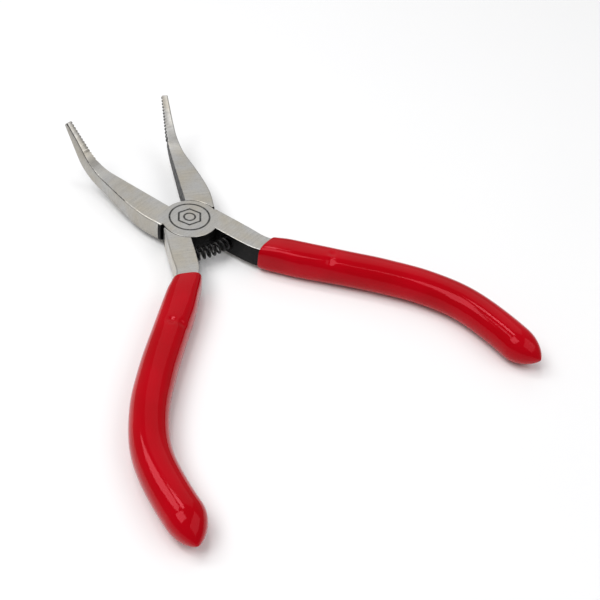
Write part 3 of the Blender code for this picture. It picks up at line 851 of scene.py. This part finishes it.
def dented(outline, below):
    """Sinks the two small dents that the dip keeps where the tang under it narrows."""
    away = (below - DENT_BELOW) / DENT_RADIUS
    ring = []
    for across, up in outline:
        aside = (abs(across + DENT_INWARD) - DENT_APART / 2) / DENT_RADIUS
        ring.append((across, up - (DENT_DEPTH * math.exp(-away * away - aside * aside) if up > 0 else 0.0)))
    return ring


def socket_outline(distance):
    """The tang's own section, met along the rays of the grip's section."""
    shape = tang_section(distance, grow=SOCKET_ROOM)
    outline = []
    for across, up in grip_outline(1.0, 1.0, SOCKET_SQUARENESS):
        ray = Vector((across, up)).normalized()
        best = 0.0
        for a, b in zip(shape, shape[1:] + shape[:1]):
            a = Vector(a)
            edge = Vector(b) - a
            cross = ray.x * edge.y - ray.y * edge.x
            if abs(cross) < 1e-9:
                continue
            reach = (a.x * edge.y - a.y * edge.x) / cross
            share = (a.x * ray.y - a.y * ray.x) / cross
            if -1e-6 <= share <= 1 + 1e-6 and reach > best:
                best = reach
        outline.append(tuple(ray * best))
    return outline


def levelled(place):
    """1 at the lip, whose dip line was level with the hanging tang, and 0 below it."""
    share = min(max((place - GRIP_MOUTH) / GRIP_LEVELLING, 0.0), 1.0)
    return 1 - share * share * (3 - 2 * share)


def grip_rings(side):
    """Sections from the bottom of the socket up to the lip, over it and down to the nose."""
    rings = []
    socket_end = handle_length - TANG_END_INSET
    socket_floor = socket_end + SOCKET_END_ROOM
    for step in range(GRIP_SOCKET_STEPS + 1):
        place = socket_floor + (GRIP_MOUTH - socket_floor) * step / GRIP_SOCKET_STEPS
        rings.append(handle_ring(side, place, socket_outline(min(place, socket_end)), levelled(place)))
    for step in range(GRIP_BEAD_STEPS + 1):
        turn = math.pi / 2 * step / GRIP_BEAD_STEPS
        draw_in = GRIP_LIP_BEAD * (1 - math.sin(turn))
        place = GRIP_MOUTH + GRIP_LIP_BEAD * (1 - math.cos(turn))
        lip_depth = GRIP_DEPTHS[0][1]
        outline = grip_outline(GRIP_LIP_WIDTH - 2 * draw_in, lip_depth - 2 * draw_in, GRIP_SQUARENESS[0][1])
        rings.append(handle_ring(side, place, outline, levelled(place)))
    for step in range(1, GRIP_BODY_STEPS + 1):
        below = GRIP_LIP_BEAD + (body_length - GRIP_LIP_BEAD) * step / GRIP_BODY_STEPS
        width = smooth_through(GRIP_WIDTHS, below)
        depth = smooth_through(GRIP_DEPTHS, below)
        outline = grip_outline(width, depth, smooth_through(GRIP_SQUARENESS, below))
        place = GRIP_MOUTH + below
        rings.append(handle_ring(side, place, dented(outline, below), levelled(place)))
    width = smooth_through(GRIP_WIDTHS, body_length)
    squareness = smooth_through(GRIP_SQUARENESS, body_length)
    for step in range(1, GRIP_NOSE_STEPS + 1):
        turn = math.radians(GRIP_NOSE_END_DEG * step / GRIP_NOSE_STEPS)
        size = math.cos(turn) ** GRIP_NOSE_POINT
        outline = grip_outline(width * size, GRIP_THICKNESS * size, squareness)
        outline = [(across + GRIP_NOSE_OFFSET * (1 - size), up) for across, up in outline]
        place = GRIP_MOUTH + body_length + GRIP_NOSE_LENGTH * math.sin(turn)
        rings.append(handle_ring(side, place, outline))
    return rings


def sag(rings, side):
    """The slow waves that a cured dip keeps, drawn into the outer skin."""
    outer = GRIP_SOCKET_STEPS + 1 + GRIP_BEAD_STEPS + 1
    stretch = Vector(GRIP_WAVE_STRETCH)
    other_side = Vector((0.0, 0.0, 20.0 * side))
    waved = rings[:outer]
    for ring in rings[outer:]:
        middle = sum((Vector(point) for point in ring), Vector()) / len(ring)
        moved = []
        for point in ring:
            point = Vector(point)
            away = (point - middle).normalized()
            lift = noise.noise(point * stretch + other_side)
            moved.append(tuple(point + away * GRIP_WAVE * (lift - GRIP_WAVE_SINK)))
        waved.append(moved)
    return waved


# Red plastisol: deep crimson, glossy as a sweet, with a faint orange-peel and a few dull rubs.
vinyl, tree = finish_named("red_dipped_plastisol")
depth = add(tree, "MapRange", [cloudiness(tree, (9.0, 14.0, 9.0), 2.0, 4.0), 0.35, 0.65, 0.0, 1.0])
tone = add(tree, "MixRGB", [depth, linear("#AA000C"), linear("#B60012")])
rough = add(tree, "MapRange", [cloudiness(tree, (2.5, 7.0, 2.5), 4.0, 6.0, 0.6), 0.5, 0.8, 0.08, 0.16])
peel = cloudiness(tree, (0.9, 0.9, 0.9), 2.0, 8.0)
bump = add(tree, "Bump", {"Height": peel, "Strength": 0.25, "Distance": 0.01 * MM})
gloss = {
    "Base Color": tone,
    "Roughness": rough,
    "IOR": 1.5,
    "Specular IOR Level": 0.42,
    "Specular Tint": linear("#FF7F8E"),
    "Normal": bump,
}
add(tree, "OutputMaterial", [add(tree, "BsdfPrincipled", gloss)])

for label, side in SIDES.items():
    piece = solid(label + "_grip_vinyl", *skin(sag(grip_rings(side), side)))
    piece.data.materials.append(vinyl)
    swing_open(piece, side)
    shade(piece, 60)
    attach(piece, label + "_side")
    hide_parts(label + "_lever_grip")
